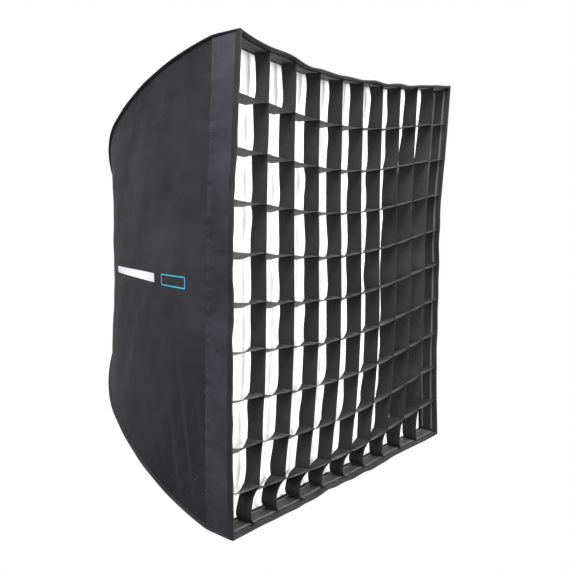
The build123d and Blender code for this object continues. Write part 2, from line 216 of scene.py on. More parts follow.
def makeCreaseGroup():
    # soft handling creases, and the patchy painted sheen of packed nylon, painted lighter along the creases
    group, given, out = makeGroup(
        "softCreases",
        [
            ("Cloth", "NodeSocketVector", None), ("Size", "NodeSocketFloat", 9.0),
            ("Sharpness", "NodeSocketFloat", 0.5)
        ],
        [("Height", "NodeSocketFloat"), ("Shade", "NodeSocketFloat")],
    )
    bend = addNode(group, "ShaderNodeTexNoise", Vector=given.outputs["Cloth"], Scale=3.0, Detail=2.0)
    shifted = addNode(
        group, "ShaderNodeVectorMath", {"operation": "ADD"}, i0=given.outputs["Cloth"],
        i1=bend.outputs["Color"]
    )
    broad = addNode(
        group, "ShaderNodeTexNoise", Vector=shifted.outputs[0], Scale=given.outputs["Size"], Detail=3.0,
        Roughness=0.45
    )
    folds = addNode(
        group, "ShaderNodeTexNoise", Vector=given.outputs["Cloth"],
        Scale=maths(group, "MULTIPLY", given.outputs["Size"], 2.6), Detail=2.0, Distortion=0.8
    )
    ridge = maths(group, "ABSOLUTE", maths(group, "SUBTRACT", folds.outputs["Fac"], 0.5))
    ridge = maths(group, "SUBTRACT", 1.0, maths(group, "MULTIPLY", ridge, 7.0, True))
    ridge = maths(group, "POWER", maths(group, "MAXIMUM", ridge, 0.0), 3.0)
    crease = maths(group, "MULTIPLY", ridge, given.outputs["Sharpness"])
    group.links.new(
        maths(group, "ADD", broad.outputs["Fac"], maths(group, "MULTIPLY", crease, 0.25)),
        out.inputs["Height"]
    )
    # Shade paints sheen into the cloth's colour: patchy noise plus the crease lines made lighter; it also
    # sets the roughness
    paintedSheenPatch = addNode(
        group, "ShaderNodeTexNoise", Vector=given.outputs["Cloth"],
        Scale=maths(group, "MULTIPLY", given.outputs["Size"], 0.55), Detail=5.0, Roughness=0.6
    )
    group.links.new(
        maths(group, "ADD", paintedSheenPatch.outputs["Fac"], maths(group, "MULTIPLY", crease, 0.12)),
        out.inputs["Shade"]
    )
    return group


def makeDustGroup():
    # lint and dust caught in cloth, or hairline marks on plated steel
    group, given, out = makeGroup(
        "fineSpecks",
        [
            ("Place", "NodeSocketVector", None), ("Scale", "NodeSocketFloat", 400.0),
            ("Amount", "NodeSocketFloat", 0.1)
        ],
        [("Mask", "NodeSocketFloat")],
    )
    specks = addNode(
        group, "ShaderNodeTexNoise", Vector=given.outputs["Place"], Scale=given.outputs["Scale"],
        Detail=3.0, Roughness=0.7
    )
    raised = maths(group, "SUBTRACT", specks.outputs["Fac"], 0.62)
    clear = maths(group, "MULTIPLY", raised, 9.0, True)
    group.links.new(maths(group, "MULTIPLY", clear, given.outputs["Amount"]), out.inputs["Mask"])
    return group


def makeWearGroup():
    # edges rubbed bright: where the surface turns quickly
    group, given, out = makeGroup(
        "rubbedEdges",
        [("Place", "NodeSocketVector", None), ("Amount", "NodeSocketFloat", 0.5)],
        [("Mask", "NodeSocketFloat")],
    )
    geometry = addNode(group, "ShaderNodeNewGeometry")
    sharp = maths(group, "SUBTRACT", geometry.outputs["Pointiness"], 0.53)
    edge = maths(group, "MULTIPLY", sharp, 9.0, True)
    breakUp = addNode(group, "ShaderNodeTexNoise", Vector=given.outputs["Place"], Scale=180.0, Detail=4.0)
    patchy = maths(group, "MULTIPLY", edge, maths(group, "MULTIPLY", breakUp.outputs["Fac"], 1.6))
    group.links.new(maths(group, "MULTIPLY", patchy, given.outputs["Amount"]), out.inputs["Mask"])
    return group


weaveGroup = makeWeaveGroup()
creaseGroup = makeCreaseGroup()
dustGroup = makeDustGroup()
wearGroup = makeWearGroup()


def newMaterial(name, roughness, metallic=0.0, specular=0.5):
    material = bpy.data.materials.new(name)
    material.use_nodes = True
    shader = material.node_tree.nodes["Principled BSDF"]
    shader.inputs["Roughness"].default_value = roughness
    shader.inputs["Metallic"].default_value = metallic
    shader.inputs["Specular IOR Level"].default_value = specular
    return material, material.node_tree, shader


def useGroup(tree, group, **inputs):
    return addNode(tree, "ShaderNodeGroup", {"node_tree": group}, **inputs).outputs


def mixColours(tree, share, first, second):
    mix = addNode(tree, "ShaderNodeMix", {"data_type": "RGBA"})
    for index, value in ((0, share), (6, first), (7, second)):
        if isinstance(value, bpy.types.NodeSocket):
            tree.links.new(value, mix.inputs[index])
        else:
            mix.inputs[index].default_value = value if index == 0 else (*value, 1)
    return mix.outputs[2]


clothLooks = {
    # name: dark, light, roughness, sheen, threads per metre, weave bump mm, crease size, crease
    # sharpness, crease bump mm, lint
    "shellNylon": (
        (0.005, 0.0052, 0.0068), (0.036, 0.036, 0.041), 0.64, 0.03, 1300, 0.05, 5.0, 0.12, 5.5, 0.04
    ),
    # lipNylon is the shell's nylon painted lighter: painted light, for the lip catching more light than the
    # shell
    "lipNylon": ((0.009, 0.009, 0.012), (0.049, 0.048, 0.058), 0.62, 0.04, 1300, 0.05, 7.0, 0.10, 5.0, 0.05),
    "bindingTape": (
        (0.006, 0.006, 0.007), (0.022, 0.022, 0.024), 0.60, 0.10, 700, 0.22, 22.0, 0.4, 0.8, 0.10
    ),
    "loopTape": ((0.016, 0.016, 0.017), (0.050, 0.050, 0.052), 0.88, 0.35, 900, 0.5, 30.0, 0.4, 0.8, 0.25),
    "hookTape": ((0.010, 0.010, 0.011), (0.036, 0.036, 0.038), 0.42, 0.04, 620, 0.6, 30.0, 0.2, 0.4, 0.10),
    "gridCloth": (
        (0.010, 0.010, 0.010), (0.024, 0.024, 0.0235), 0.60, 0.12, 1000, 0.08, 16.0, 0.3, 1.0, 0.06
    ),
    "silverLining": ((0.42, 0.42, 0.43), (0.66, 0.66, 0.67), 0.34, 0.0, 1300, 0.05, 12.0, 0.8, 2.4, 0.05),
}


def makeCloth(name):
    dark, light, rough, sheen, threads, weaveBump, creaseSize, sharpness, creaseBump, lint = clothLooks[name]
    material, tree, shader = newMaterial(name, rough, 0.75 if name == "silverLining" else 0.0, 0.16)
    cloth = addNode(tree, "ShaderNodeUVMap", {"uv_map": "cloth"}).outputs["UV"]
    weave = useGroup(tree, weaveGroup, Cloth=cloth, Threads_per_metre=float(threads), Unevenness=0.3)
    crease = useGroup(tree, creaseGroup, Cloth=cloth, Size=creaseSize, Sharpness=sharpness)
    lintMask = useGroup(tree, dustGroup, Place=cloth, Scale=900.0, Amount=lint)["Mask"]
    # painted sheen: the crease group's Shade mixes the colour between dark and light, over the weave's tone
    spread = maths(tree, "MULTIPLY", maths(tree, "SUBTRACT", crease["Shade"], 0.34), 2.8, True)
    shade = maths(
        tree, "ADD", maths(tree, "MULTIPLY", spread, 0.75), maths(tree, "MULTIPLY", weave["Shade"], 0.3)
    )
    colour = mixColours(tree, shade, dark, light)
    colour = mixColours(tree, lintMask, colour, (0.22, 0.22, 0.23))
    tree.links.new(colour, shader.inputs["Base Color"])
    roughNow = maths(tree, "ADD", maths(tree, "MULTIPLY", crease["Shade"], 0.22), rough - 0.12)
    tree.links.new(roughNow, shader.inputs["Roughness"])
    soft = addNode(tree, "ShaderNodeBump", Height=crease["Height"], Distance=creaseBump / 1000, Strength=0.8)
    fine = addNode(
        tree, "ShaderNodeBump", Height=weave["Height"], Distance=weaveBump / 1000, Strength=0.7,
        Normal=soft.outputs[0]
    )
    tree.links.new(fine.outputs[0], shader.inputs["Normal"])
    shader.inputs["Sheen Weight"].default_value = sheen
    shader.inputs["Sheen Roughness"].default_value = 0.4
    return material


def makeBarGroup():
    # a plain printed bar with rounded ends, solid or drawn as an outline
    group, given, out = makeGroup(
        "printedBar",
        [
            ("Cloth", "NodeSocketVector", None),
            ("Middle", "NodeSocketVector", None),
            ("Half size", "NodeSocketVector", None),
            ("Rounding", "NodeSocketFloat", 0.003),
            ("Line", "NodeSocketFloat", 0.0),
        ],
        [("Mask", "NodeSocketFloat")],
    )
    away = addNode(
        group, "ShaderNodeVectorMath", {"operation": "SUBTRACT"}, i0=given.outputs["Cloth"],
        i1=given.outputs["Middle"]
    )
    away = addNode(group, "ShaderNodeVectorMath", {"operation": "ABSOLUTE"}, i0=away.outputs[0])
    past = addNode(
        group, "ShaderNodeVectorMath", {"operation": "SUBTRACT"}, i0=away.outputs[0],
        i1=given.outputs["Half size"]
    )
    past = addNode(group, "ShaderNodeVectorMath", {"operation": "MAXIMUM"}, i0=past.outputs[0], i1=(0, 0, 0))
    gap = addNode(group, "ShaderNodeVectorMath", {"operation": "LENGTH"}, i0=past.outputs[0]).outputs["Value"]
    gap = maths(group, "SUBTRACT", gap, given.outputs["Rounding"])
    inside = maths(group, "MULTIPLY", gap, -3000.0, True)
    ring = maths(group, "MULTIPLY", maths(group, "ADD", gap, given.outputs["Line"]), 3000.0, True)
    solid = maths(group, "LESS_THAN", given.outputs["Line"], 0.0001)
    group.links.new(
        maths(group, "MULTIPLY", inside, maths(group, "MAXIMUM", ring, solid)), out.inputs["Mask"]
    )
    return group


printSet = {
    # middle and half size in metres of the left panel's cloth, line width, ink
    "whiteBar": ((0.004, 0.386), (0.006, 0.094), 0.0, (0.80, 0.80, 0.80)),
    "blueBar": ((0.004, 0.548), (0.008, 0.036), 0.0026, (0.05, 0.42, 0.62)),
}


def printBars(material):
    tree = material.node_tree
    shader = tree.nodes["Principled BSDF"]
    cloth = addNode(tree, "ShaderNodeUVMap", {"uv_map": "cloth"}).outputs["UV"]
    group = makeBarGroup()
    colour = shader.inputs["Base Color"].links[0].from_socket
    for middle, half, line, ink in printSet.values():
        mask = useGroup(
            tree, group, Cloth=cloth, Middle=(*middle, 0), Half_size=(*half, 9), Line=line
        )["Mask"]
        colour = mixColours(tree, mask, colour, ink)
    tree.links.new(colour, shader.inputs["Base Color"])


def makeDiffuserCloth():
    material, tree, shader = newMaterial("diffuserNylon", 0.72, 0.0, 0.3)
    cloth = addNode(tree, "ShaderNodeUVMap", {"uv_map": "cloth"}).outputs["UV"]
    weave = useGroup(tree, weaveGroup, Cloth=cloth, Threads_per_metre=1100.0, Unevenness=0.2)
    crease = useGroup(tree, creaseGroup, Cloth=cloth, Size=6.0, Sharpness=0.15)
    # painted soft shading: the crease group's patchy Shade mixes the diffuser's white between two greys
    shade = maths(tree, "MULTIPLY", maths(tree, "SUBTRACT", crease["Shade"], 0.3), 2.0, True)
    tree.links.new(
        mixColours(tree, shade, (0.84, 0.84, 0.85), (0.92, 0.92, 0.92)), shader.inputs["Base Color"]
    )
    soft = addNode(tree, "ShaderNodeBump", Height=crease["Height"], Distance=0.003, Strength=0.6)
    fine = addNode(
        tree, "ShaderNodeBump", Height=weave["Height"], Distance=0.00004, Strength=0.5,
        Normal=soft.outputs[0]
    )
    tree.links.new(fine.outputs[0], shader.inputs["Normal"])
    return material


def makeThread(name, colour):
    material, tree, shader = newMaterial(name, 0.7, 0.0, 0.3)
    place = addNode(tree, "ShaderNodeTexCoord").outputs["Object"]
    mask = useGroup(tree, dustGroup, Place=place, Scale=2500.0, Amount=0.5)["Mask"]
    tree.links.new(
        mixColours(tree, mask, colour, tuple(min(1, c * 1.8 + 0.03) for c in colour)),
        shader.inputs["Base Color"]
    )
    return material


hardLooks = {
    # name: base, worn, metallic, roughness, specks, edge wear
    "sprungSteel": ((0.028, 0.028, 0.03), (0.30, 0.30, 0.31), 0.55, 0.38, 0.35, 0.7),
    "platedSteel": ((0.56, 0.56, 0.57), (0.78, 0.78, 0.78), 1.0, 0.30, 0.30, 0.4),
    "brightSteel": ((0.74, 0.74, 0.75), (0.9, 0.9, 0.9), 1.0, 0.14, 0.20, 0.3),
    "blackPlastic": ((0.018, 0.018, 0.019), (0.12, 0.12, 0.12), 0.0, 0.42, 0.30, 0.5),
    "zipPlastic": ((0.014, 0.014, 0.015), (0.10, 0.10, 0.10), 0.0, 0.30, 0.20, 0.4),
    "zipMetal": ((0.03, 0.03, 0.033), (0.45, 0.42, 0.36), 0.7, 0.34, 0.30, 0.9),
}


def makeHard(name):
    base, worn, metallic, rough, specks, wear = hardLooks[name]
    material, tree, shader = newMaterial(name, rough, metallic, 0.5)
    place = addNode(tree, "ShaderNodeTexCoord").outputs["Object"]
    speckMask = useGroup(tree, dustGroup, Place=place, Scale=900.0, Amount=specks)["Mask"]
    wearMask = useGroup(tree, wearGroup, Place=place, Amount=wear)["Mask"]
    both = maths(tree, "MAXIMUM", wearMask, maths(tree, "MULTIPLY", speckMask, 0.35))
    tree.links.new(mixColours(tree, both, base, worn), shader.inputs["Base Color"])
    tree.links.new(
        maths(tree, "ADD", maths(tree, "MULTIPLY", speckMask, 0.35), rough, True),
        shader.inputs["Roughness"]
    )
    grain = addNode(tree, "ShaderNodeTexNoise", Vector=place, Scale=1600.0, Detail=2.0)
    bump = addNode(tree, "ShaderNodeBump", Height=grain.outputs["Fac"], Distance=0.00005, Strength=0.5)
    tree.links.new(bump.outputs[0], shader.inputs["Normal"])
    return material


cloths = {name: makeCloth(name) for name in clothLooks}
printBars(cloths["shellNylon"])
diffuserCloth = makeDiffuserCloth()
paleThread = makeThread("paleThread", (0.17, 0.17, 0.18))
darkThread = makeThread("darkThread", (0.045, 0.045, 0.05))
hards = {name: makeHard(name) for name in hardLooks}
print("finishes made:", len(bpy.data.materials))

# ---- shape of the box

shellSet = {
    "bends": [(7.2, 17.6, 1.22), (17.6, 52.0, 0.319), (52.0, 73.0, 0.965)],  # corner edge: start, end, radius
    "thick": 0.0008,
    "cell": 0.008,
    "pull": 0.009,  # how far the middle of a panel is drawn in between the ribs
    # height and length of each kind of fold
    "broad": (0.0045, 0.30),
    "fine": (0.0022, 0.11),
    "gather": (0.0024, 0.024),  # along the lip's seam
    "fan": (0.0016, 0.034),  # round the ribs' tips
    "soft": (0.0042, 0.045),  # up from the lower corners
}
# how far each side of the rim sags in
slackSet = {"top": 0.037, "left": -0.013, "right": 0.029, "bottom": 0.002}
# how uneven each side of the rim is
bumpSet = {"top": 0.0065, "left": 0.0035, "right": 0.0035, "bottom": 0.0025}


def cornerEdge():
    line = [Vector((0.0, 0.0))]
    for start, end, radius in shellSet["bends"]:
        base = line[-1]
        low, high = math.radians(start), math.radians(end)
        for k in range(1, 61):
            now = low + (high - low) * k / 60
            line.append(
                base + radius * Vector((math.sin(now) - math.sin(low), math.cos(now) - math.cos(low)))
            )
    line = np.array([list(p) for p in line])
    line += np.array([seamHalf * math.sqrt(2), seamY]) - line[-1]
    line[:, 0] /= math.sqrt(2)
    run = np.concatenate([[0], np.cumsum(np.linalg.norm(np.diff(line, axis=0), axis=1))])
    return run / run[-1], line, run[-1]


edgeShare, edgeLine, edgeLength = cornerEdge()


def halfAt(share):
    return np.interp(share, edgeShare, edgeLine[:, 0]) + (share > 1) * (share - 1) * edgeLength * 0.38


def backAt(share):
    return np.interp(share, edgeShare, edgeLine[:, 1]) - (share > 1) * (share - 1) * edgeLength * 0.92


def waves(p, q, seed, longest, count=9):
    draw = random.Random(seed)
    total = np.zeros(np.broadcast(p, q).shape)
    for k in range(count):
        length = longest * (0.45 + 0.55 * draw.random())
        turn = draw.uniform(0, 2 * math.pi)
        phase = draw.uniform(0, 2 * math.pi)
        total = total + np.sin((p * math.cos(turn) + q * math.sin(turn)) * 2 * math.pi / length + phase)
    return total / count


def sag(side, u, y):
    along = (u + 1) / 2
    safe = np.clip(along, 0, 1)
    if side == "top":
        shape = np.sin(math.pi * safe ** 0.85) * (1 - 0.22 * safe)
        shape = shape + 0.07 * np.sin(math.pi * safe) * np.sin(safe * 19 + 0.6)
    elif side == "bottom":
        shape = np.sin(math.pi * safe) * np.sin(safe * 17 + 1.0)
    else:
        shape = np.sin(math.pi * safe) * (1 + 0.15 * np.sin(safe * 12))
    reach = np.clip((0.27 - y) / (0.27 - rimY), 0, 1.2)
    uneven = waves(u * rimHalf, 0 * u, list(sides).index(side) + 77, 0.11, 5)
    bumps = bumpSet[side] * uneven * np.sin(math.pi * safe)
    return slackSet[side] * shape * reach ** 1.6 + bumps * np.clip(reach, 0, 1) ** 8


def place3(side, out, along, y):
    (ox, oz), (ax, az) = sides[side]
    return np.stack([ox * out + ax * along, y, oz * out + az * along], axis=-1)


def shellPoint(side, lift=0.0):
    seed = list(sides).index(side) * 10
    broadHigh, broadLong = shellSet["broad"]
    fineHigh, fineLong = shellSet["fine"]
    gatherHigh, gatherLong = shellSet["gather"]
    fanHigh, fanLong = shellSet["fan"]
    softHigh, softLong = shellSet["soft"]

    def place(share, u):
        half, back = halfAt(share), backAt(share)
        step = 1e-3
        dh, dy = halfAt(share + step) - halfAt(share - step), backAt(share + step) - backAt(share - step)
        size = np.hypot(dh, dy)
        nOut, nBack = -dy / size, dh / size
        calm = np.clip(1 - u * u, -0.2, 1)
        ends = np.clip(share * 5, 0, 1) * np.clip((1.02 - share) * 6, 0, 1)
        p, q = u * half, share * edgeLength
        move = -shellSet["pull"] * calm * np.sin(math.pi * np.clip(share, 0, 1)) ** 2
        move = move + broadHigh * waves(p, q, seed + 1, broadLong) * np.abs(calm) ** 0.7 * ends
        move = move + fineHigh * waves(p, q, seed + 2, fineLong) * np.abs(calm) ** 0.5 * ends
        gather = np.exp(-((1 - share) * edgeLength / 0.016) ** 2) * np.abs(calm) ** 0.2
        move = move + gatherHigh * waves(p, 0 * q, seed + 7, gatherLong, 7) * gather
        besideRib = np.exp(-((1 - np.abs(u)) * half / 0.10) ** 2)
        nearTip = besideRib * np.exp(-((1 - share) * edgeLength / 0.13) ** 2)
        fan = np.sin((np.abs(p) * 0.8 + q) * 2 * math.pi / fanLong)
        move = move + fanHigh * fan * nearTip * np.abs(calm) ** 0.3
        # a few soft folds run up from the lower corners, beside the lip's seam
        low = (-u if side in ("left", "right") else 0 * u) * half
        nearSeam = (1 - share) * edgeLength
        soft = np.exp(-((low - 0.27) / 0.09) ** 2) * np.exp(-((nearSeam - 0.045) / 0.05) ** 2)
        slant = np.sin((nearSeam + 0.22 * low) * 2 * math.pi / softLong)
        move = move + softHigh * soft * slant * np.clip(nearSeam * 60, 0, 1)
        if side == "bottom":
            # the cloth lies flat along the zip
            flat = np.exp(-((back - 0.129) / 0.05) ** 4) * np.exp(-(p / 0.18) ** 6)
            move = move * (1 - flat)
        move = move + lift
        out = half + nOut * move - sag(side, u, back)
        return place3(side, out, p, back + nBack * move)

    return place


def lipPoint(side, front, back, inset):
    gatherHigh, gatherLong = shellSet["gather"]

    def place(share, u):
        y = rimY + front + (back - front) * share
        half = rimHalf - (rimHalf - seamHalf) * (y - rimY) / (seamY - rimY) - inset
        seed = list(sides).index(side) * 10 + 5
        calm = np.clip(1 - u * u, 0, 1)
        ripple = 0.0012 * waves(u * rimHalf, y, seed, 0.16) * calm ** 0.5
        gather = np.exp(-((seamY - y) / 0.014) ** 2) * calm ** 0.2
        ripple = ripple + gatherHigh * waves(u * seamHalf, 0 * y, seed + 2, gatherLong, 7) * gather
        return place3(side, half - sag(side, u, y) + ripple, half * u, y)

    return place


# ---- making meshes


def asObject(name, verts, faces, materials, which=None, uvs=None):
    mesh = bpy.data.meshes.new(name)
    mesh.from_pydata([tuple(v) for v in verts], [], [tuple(f) for f in faces])
    for material in materials:
        mesh.materials.append(material)
    if which is not None:
        mesh.polygons.foreach_set("material_index", np.asarray(which, np.int32))
    mesh.polygons.foreach_set("use_smooth", np.ones(len(mesh.polygons), bool))
    if uvs is not None:
        layer = mesh.uv_layers.new(name="cloth")
        corner = np.zeros(len(mesh.loops), np.int32)
        mesh.loops.foreach_get("vertex_index", corner)
        layer.data.foreach_set("uv", np.asarray(uvs, np.float32)[corner].ravel())
    mesh.validate()
    mesh.update()
    piece = bpy.data.objects.new(name, mesh)
    bpy.context.scene.collection.objects.link(piece)
    return piece


def twoLayer(place, rows, cols, thick, facing):
    a, u = [g.ravel() for g in np.meshgrid(rows, cols, indexing="ij")]
    outer = place(a, u)
    step = 1e-4
    normal = np.cross(place(a + step, u) - place(a - step, u), place(a, u + step) - place(a, u - step))
    normal /= np.maximum(np.linalg.norm(normal, axis=1, keepdims=True), 1e-12)
    turn = 1 if (normal @ np.array(facing)).sum() > 0 else -1
    inner = outer - normal * turn * thick
    total = len(outer)
    index = np.arange(total).reshape(len(rows), len(cols))
    quad = np.stack([index[:-1, :-1], index[1:, :-1], index[1:, 1:], index[:-1, 1:]], -1).reshape(-1, 4)
    loop = np.concatenate([index[:-1, 0], index[-1, :-1], index[:0:-1, -1], index[0, :0:-1]])
    rim = np.stack([loop, loop + total, np.roll(loop, -1) + total, np.roll(loop, -1)], -1)
    faces = [quad, quad[:, ::-1] + total, rim[:, ::-1]]
    if turn * np.sign(cols[-1] - cols[0]) < 0:
        faces = [f[:, ::-1] for f in faces]
    which = np.repeat([0, 1, 0], [len(f) for f in faces])
    return np.concatenate([outer, inner]), np.concatenate(faces), which, np.tile(np.stack([u, a], -1), (2, 1))


def columns(end, half, cell, near=0.0012):
    count = max(4, round(half / cell))
    ends = np.concatenate([[0, near / half], np.linspace(0, 1, count + 1)[1:]])
    return ends * end


# ---- cloth eighths


def foldWithRib(piece, side, end):
    "rib_" + cornerOf(side, end)
    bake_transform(piece)


def clothEighth(
    name, side, end, place, rows, half, cell, thick, materials, facing=None, uvSize=(1, 1),
    uvShift=(0, 0)
):
    facing = facing or (sides[side][0][0], 0.001, sides[side][0][1])
    verts, faces, which, uvs = twoLayer(place, rows, columns(end, half, cell), thick, facing)
    uvs = uvs * np.array(uvSize) + np.array(uvShift)
    piece = asObject(name, verts, faces, materials, which, uvs)
    piece.data.set_sharp_from_angle(angle=math.radians(50))
    foldWithRib(piece, side, end)
    return piece


# ---- shell, lip, tapes and diffuser


def makeShell():
    rows = np.linspace(0, 1, round(edgeLength / shellSet["cell"]))
    pieces = []
    for side, end, label in eighths():
        shift = (2.3 * list(sides).index(side), 0)
        piece = clothEighth(
            "shell_" + label, side, end, shellPoint(side), rows, seamHalf, shellSet["cell"],
            shellSet["thick"],
            [cloths["shellNylon"], cloths["silverLining"]], uvSize=(seamHalf, edgeLength),
            uvShift=shift,
        )
        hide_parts("panel_" + side)
        flatArea = float(np.trapz(edgeLine[:, 0], edgeShare) * edgeLength)
        "rib_rod_" + cornerOf(side, end)
        pieces.append(piece)
    return pieces


lipSet = {
    # name: front and back from the rim, depth inside the lip's skin, thickness, finish, slot, replaced
    # node, rows
    "lip": (0.0, 0.0592, -0.0005, 0.0009, "lipNylon", "lip_cloth", "front_lip", 12),
    "gridLoop": (0.010, 0.032, 0.0013, 0.0009, "loopTape", "loop_tape", "grid_loop_tape", 4),
    "gridHook": (0.012, 0.030, 0.0025, 0.0009, "hookTape", "hook_tape", "grid_hook_tape", 4),
    "diffuserLoop": (0.043, 0.054, 0.0013, 0.0009, "loopTape", "loop_tape", "diffuser_loop_tape", 3),
    "diffuserHook": (0.044, 0.053, 0.0025, 0.0009, "hookTape", "hook_tape", "diffuser_hook_tape", 3),
    "gridBorder": (0.009, 0.036, 0.0037, 0.0010, "gridCloth", "grid_cloth", "grid_border", 6),
}


def makeLipCloths():
    pieces = {}
    for name, (front, back, inset, thick, finish, slotName, node, rowCount) in lipSet.items():
        rows = np.linspace(0, 1, rowCount)
        for side, end, label in eighths():
            piece = clothEighth(
                name + "_" + label, side, end, lipPoint(side, front, back, inset), rows, rimHalf, 0.007,
                thick,
                [cloths[finish], cloths[finish]], uvSize=(rimHalf, back - front),
                uvShift=(2.3 * list(sides).index(side), front),
            )
            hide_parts(node)
            pieces[name, label] = piece
    return pieces


diffuserSet = {"front": 0.043, "inset": 0.0037, "belly": 0.004, "rows": 40}


def diffuserPoint(side, edge):
    def place(share, u):
        rim = edge(np.zeros_like(u), u)
        out = place3(side, 0 * u, 0 * u, rim[..., 1])
        flat = out + (rim - out) * np.asarray(share)[..., None]
        x, z = flat[..., 0], flat[..., 2]
        calm = np.clip(1 - np.asarray(share) ** 4, 0, 1)
        belly = diffuserSet["belly"] * calm + 0.0055 * waves(x, z, 71, 0.20) * calm
        belly = belly + 0.0010 * waves(x, z, 72, 0.08) * calm
        flat[..., 1] = flat[..., 1] + belly
        return flat

    return place


def makeDiffuser():
    front, inset = diffuserSet["front"], diffuserSet["inset"]
    rows = np.concatenate([[0.002], np.linspace(0.02, 1, diffuserSet["rows"])])
    for side, end, label in eighths():
        edge = lipPoint(side, front, front + 0.012, inset)
        piece = clothEighth(
            "diffuser_" + label, side, end, diffuserPoint(side, edge), rows, rimHalf, 0.008, 0.0004,
            [diffuserCloth, diffuserCloth], facing=(0, -1, 0),
        )
        verts = np.zeros(len(piece.data.vertices) * 3)
        piece.data.vertices.foreach_get("co", verts)
        corner = np.zeros(len(piece.data.loops), np.int32)
        piece.data.loops.foreach_get("vertex_index", corner)
        piece.data.uv_layers["cloth"].data.foreach_set("uv", verts.reshape(-1, 3)[:, [0, 2]][corner].ravel())
        flange = clothEighth(
            "diffuserFlange_" + label, side, end, edge, np.linspace(0, 1, 4), rimHalf, 0.008, 0.0005,
            [diffuserCloth, diffuserCloth], uvSize=(rimHalf, 0.012),
        )
        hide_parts("front_diffuser")


def bindingPoint(side):
    def place(share, u):
        # round the rim's edge, from the outside to the inside
        wide, tall, out = 0.0015, 0.009, 0.0014
        share = np.clip(share, 0, 1) * 3
        y = np.where(
            share < 1, tall * (1 - share),
            np.where(share < 2, -wide * np.sin((share - 1) * math.pi), tall * (share - 2))
        )
        inset = np.where(
            share < 1, -out,
            np.where(share < 2, wide / 2 - (wide / 2 + out) * np.cos((share - 1) * math.pi), out + wide)
        )
        half = rimHalf - (rimHalf - seamHalf) * y / (seamY - rimY)
        ripple = 0.0007 * waves(u * rimHalf, y, list(sides).index(side) + 40, 0.05) * np.clip(1 - u * u, 0, 1)
        return place3(side, half - inset - sag(side, u, rimY + y) + ripple, (half - inset) * u, rimY + y)

    return place


lipRun = math.hypot(math.sqrt(2) * (rimHalf - seamHalf), seamY - rimY) / edgeLength


def cornerRun(run):
    # along the corner seam from the hub, and on over the lip to the rim
    lip = np.clip(run - 1, 0, None) / lipRun
    on = np.minimum(run, 1)
    out = halfAt(on) * math.sqrt(2) + lip * (rimHalf - seamHalf) * math.sqrt(2)
    return out, backAt(on) - lip * (seamY - rimY)


def seamTapePoint(side, end):
    def place(share, run):
        # half of the folded tape that stands on the corner seam: share goes from its foot to its crest
        out, back = cornerRun(run)
        step = 1e-3
        (outA, backA), (outB, backB) = cornerRun(run - step), cornerRun(run + step)
        dh, dy = outB - outA, backB - backA
        size = np.hypot(dh, dy)
        lift = -0.0012 + (0.0060 - 0.0028 * np.clip((run - 1.02) * 15, 0, 1)) * np.clip(share, 0, 1)
        thick = 0.0013 * np.sqrt(np.clip(1 - np.clip(share, 0, 1) ** 6, 0, 1))
        thick = thick + 0.00025 * waves(run * edgeLength, share * 0, 90, 0.03) * (1 - share)
        wander = 0.0006 * waves(run * edgeLength, 0 * run, 91, 0.12)
        out = out + (-dy / size) * (lift + wander)
        y = back + (dh / size) * (lift + wander)
        # out along the diagonal, thick across it
        return place3(side, (out + thick) / math.sqrt(2), end * (out - thick) / math.sqrt(2), y)

    return place


def makeBindings():
    for side, end, label in eighths():
        rim = clothEighth(
            "rimBinding_" + label, side, end, bindingPoint(side), np.linspace(0, 1, 16), rimHalf, 0.006,
            0.0005,
            [cloths["bindingTape"]] * 2, uvSize=(rimHalf, 0.022), facing=(0, -1, 0),
        )
        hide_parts("rim_binding")
        verts, faces, which, uvs = twoLayer(
            seamTapePoint(side, end), np.linspace(0, 1, 7), np.linspace(0.0, 1 + lipRun * 0.93, 142),
            0.0005, (sides[side][0][0], 0, sides[side][0][1])
        )
        tape = asObject(
            "seamTape_" + label, verts, faces, [cloths["bindingTape"]] * 2, which,
            uvs[:, [0, 1]] * np.array([edgeLength, 0.008])
        )
        tape.data.set_sharp_from_angle(angle=math.radians(50))
        foldWithRib(tape, side, end)
        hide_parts("corner_bindings")


makeShell()
print("shell made")
makeLipCloths()
makeDiffuser()
makeBindings()
print("lip, tapes, diffuser and bindings made")

# ---- egg-crate grid

gridSet = {
    "cells": 10,
    "front": 0.003,
    "depth": 0.032,
    "thick": 0.0007,
    "levelSag": 0.020,  # droop of a level strip's back edge inside one cell
    "bend": 0.018,  # how far the uprights bend to the right at mid height
    "settle": 0.033,  # droop of the whole grid at mid width
    "edgeSettle": 0.012,
    "bow": 0.0034,  # how far a strip wanders between two crossings
    "twist": 0.0026,
}
innerHalf = rimHalf - 0.0050


def gridNode(x, z):
    # where a crossing at x, z has settled to
    across, down = (x / innerHalf + 1) / 2, (1 - z / innerHalf) / 2
    safe = np.clip(across, 0, 1)
    tall = np.clip(down, 0, 1)
    ends = np.clip(down * 9, 0, 1) * np.clip((1 - down) * 9, 0, 1)
    middle = np.sin(math.pi * safe ** 0.9) ** 1.3
    drop = gridSet["settle"] * middle * (1 - 0.1 * tall) * ends
    drop = drop + gridSet["edgeSettle"] * (1 - safe) ** 1.5 * ends * (0.7 + 0.6 * np.sin(math.pi * tall))
    drop = drop + (1 - np.clip(down * 9, 0, 1)) * sag("top", x / innerHalf, np.float64(rimY + 0.01))
    lean = -0.006 * np.clip((down - 0.8) / 0.1, 0, 1) - 0.012 * np.clip((down - 0.9) / 0.1, 0, 1)
    lean = lean * np.clip(np.minimum(safe, 1 - safe) * 12, 0, 1)
    nearRim = np.float64(rimY + 0.01)
    bowLeft = sag("left", z / innerHalf, nearRim)
    bowRight = sag("right", z / innerHalf, nearRim)
    side = bowLeft * (1 - safe) ** 12 - bowRight * safe ** 4
    bend = np.sin(math.pi * np.clip((down - 0.15) / 0.72, 0, 1) ** 1.4) ** 1.3 * np.sin(math.pi * safe) ** 0.8
    return x + lean + side + gridSet["bend"] * bend, z - drop


